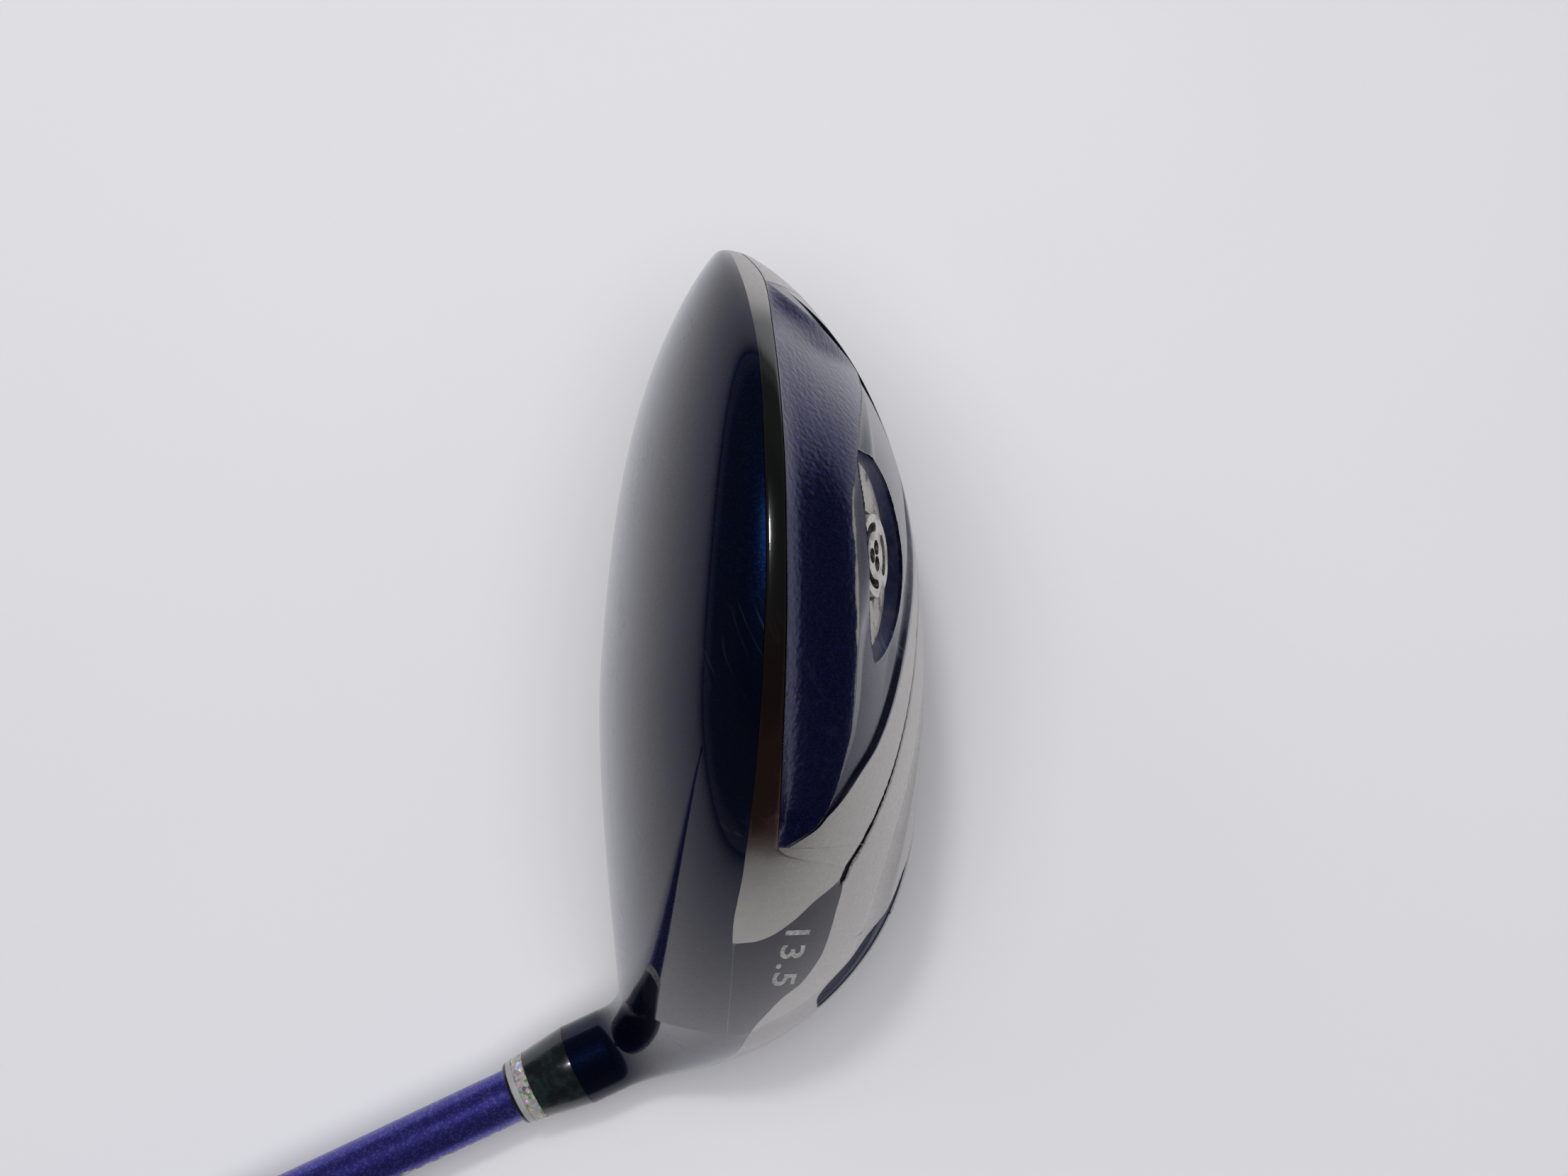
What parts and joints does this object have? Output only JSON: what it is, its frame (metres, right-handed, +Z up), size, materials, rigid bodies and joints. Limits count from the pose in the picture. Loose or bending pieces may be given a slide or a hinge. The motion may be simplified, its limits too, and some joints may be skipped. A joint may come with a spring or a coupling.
{
  "type": "golf driver",
  "caption": "Golf driver with a hollow head, bonded hosel, ringed ferrule, tapered shaft, rubber grip and a screw-in sole weight.",
  "frame": {"origin": "centre of the vent hole's mouth in the butt end of the grip, on the shaft axis", "axes": "+X along the shaft from butt to head, +Z up from the floor the club lies on, away from the face; +Y towards the toe and crown"},
  "size_m": [1.1456, 0.1155, 0.108],
  "materials": {
    "crown_paint": "gloss navy with metallic flake",
    "sole_metal": "satin cast titanium",
    "panel_paint": "textured violet-navy pearl",
    "face_metal": "fine brushed titanium",
    "band_metal": "polished titanium",
    "hosel_paint": "gloss navy with metallic flake",
    "port_metal": "bead-blasted",
    "screw_metal": "satin, worn",
    "washer_nylon": "satin",
    "ferrule_black": "gloss",
    "ferrule_glitter": "silver glitter under clear lacquer",
    "ferrule_light": "gloss",
    "shaft_paint": "violet-blue metallic lacquer over graphite",
    "epoxy": "cured glue",
    "plug": "soft",
    "tape": "paper tape",
    "grip_rubber": "matte",
    "hot_melt": "tacky"
  },
  "bodies": {
    "club": {"crown_shell": "crown_paint", "skirt_band": "band_metal", "rear_panel": "panel_paint", "sole_shell": "sole_metal", "face_cup": "face_metal", "hosel": "hosel_paint", "weight_port": "port_metal", "ferrule_body": "ferrule_black", "ferrule_glitter_ring": "ferrule_glitter", "ferrule_light_ring": "ferrule_light", "ferrule_end_ring": "ferrule_black", "shaft": "shaft_paint", "hosel_epoxy": "epoxy", "tip_plug": "plug", "grip_tape": "tape", "grip": "grip_rubber", "grip_cap": "grip_rubber", "sole_ribs": "sole_metal", "hot_melt_pad": "hot_melt"},
    "weight_washer": {"weight_washer": "washer_nylon"},
    "weight_screw": {"weight_screw": "screw_metal"}
  },
  "joints": [
    {"name": "weight_travel", "type": "slide", "parent": "club", "child": "weight_washer", "axis": [0.874, -0.3531, 0.3338], "range_m": [0, 0.006]},
    {"name": "weight_turn", "type": "hinge", "parent": "weight_washer", "child": "weight_screw", "pos_m": [1.13547, 0.05342, 0.078], "axis": [0.874, -0.3531, 0.3338], "range_deg": [0, 2160]}
  ],
  "couplings": [
    {"joint": "weight_turn", "follows": "weight_travel", "rad_per_m": 6283.2}
  ]
}
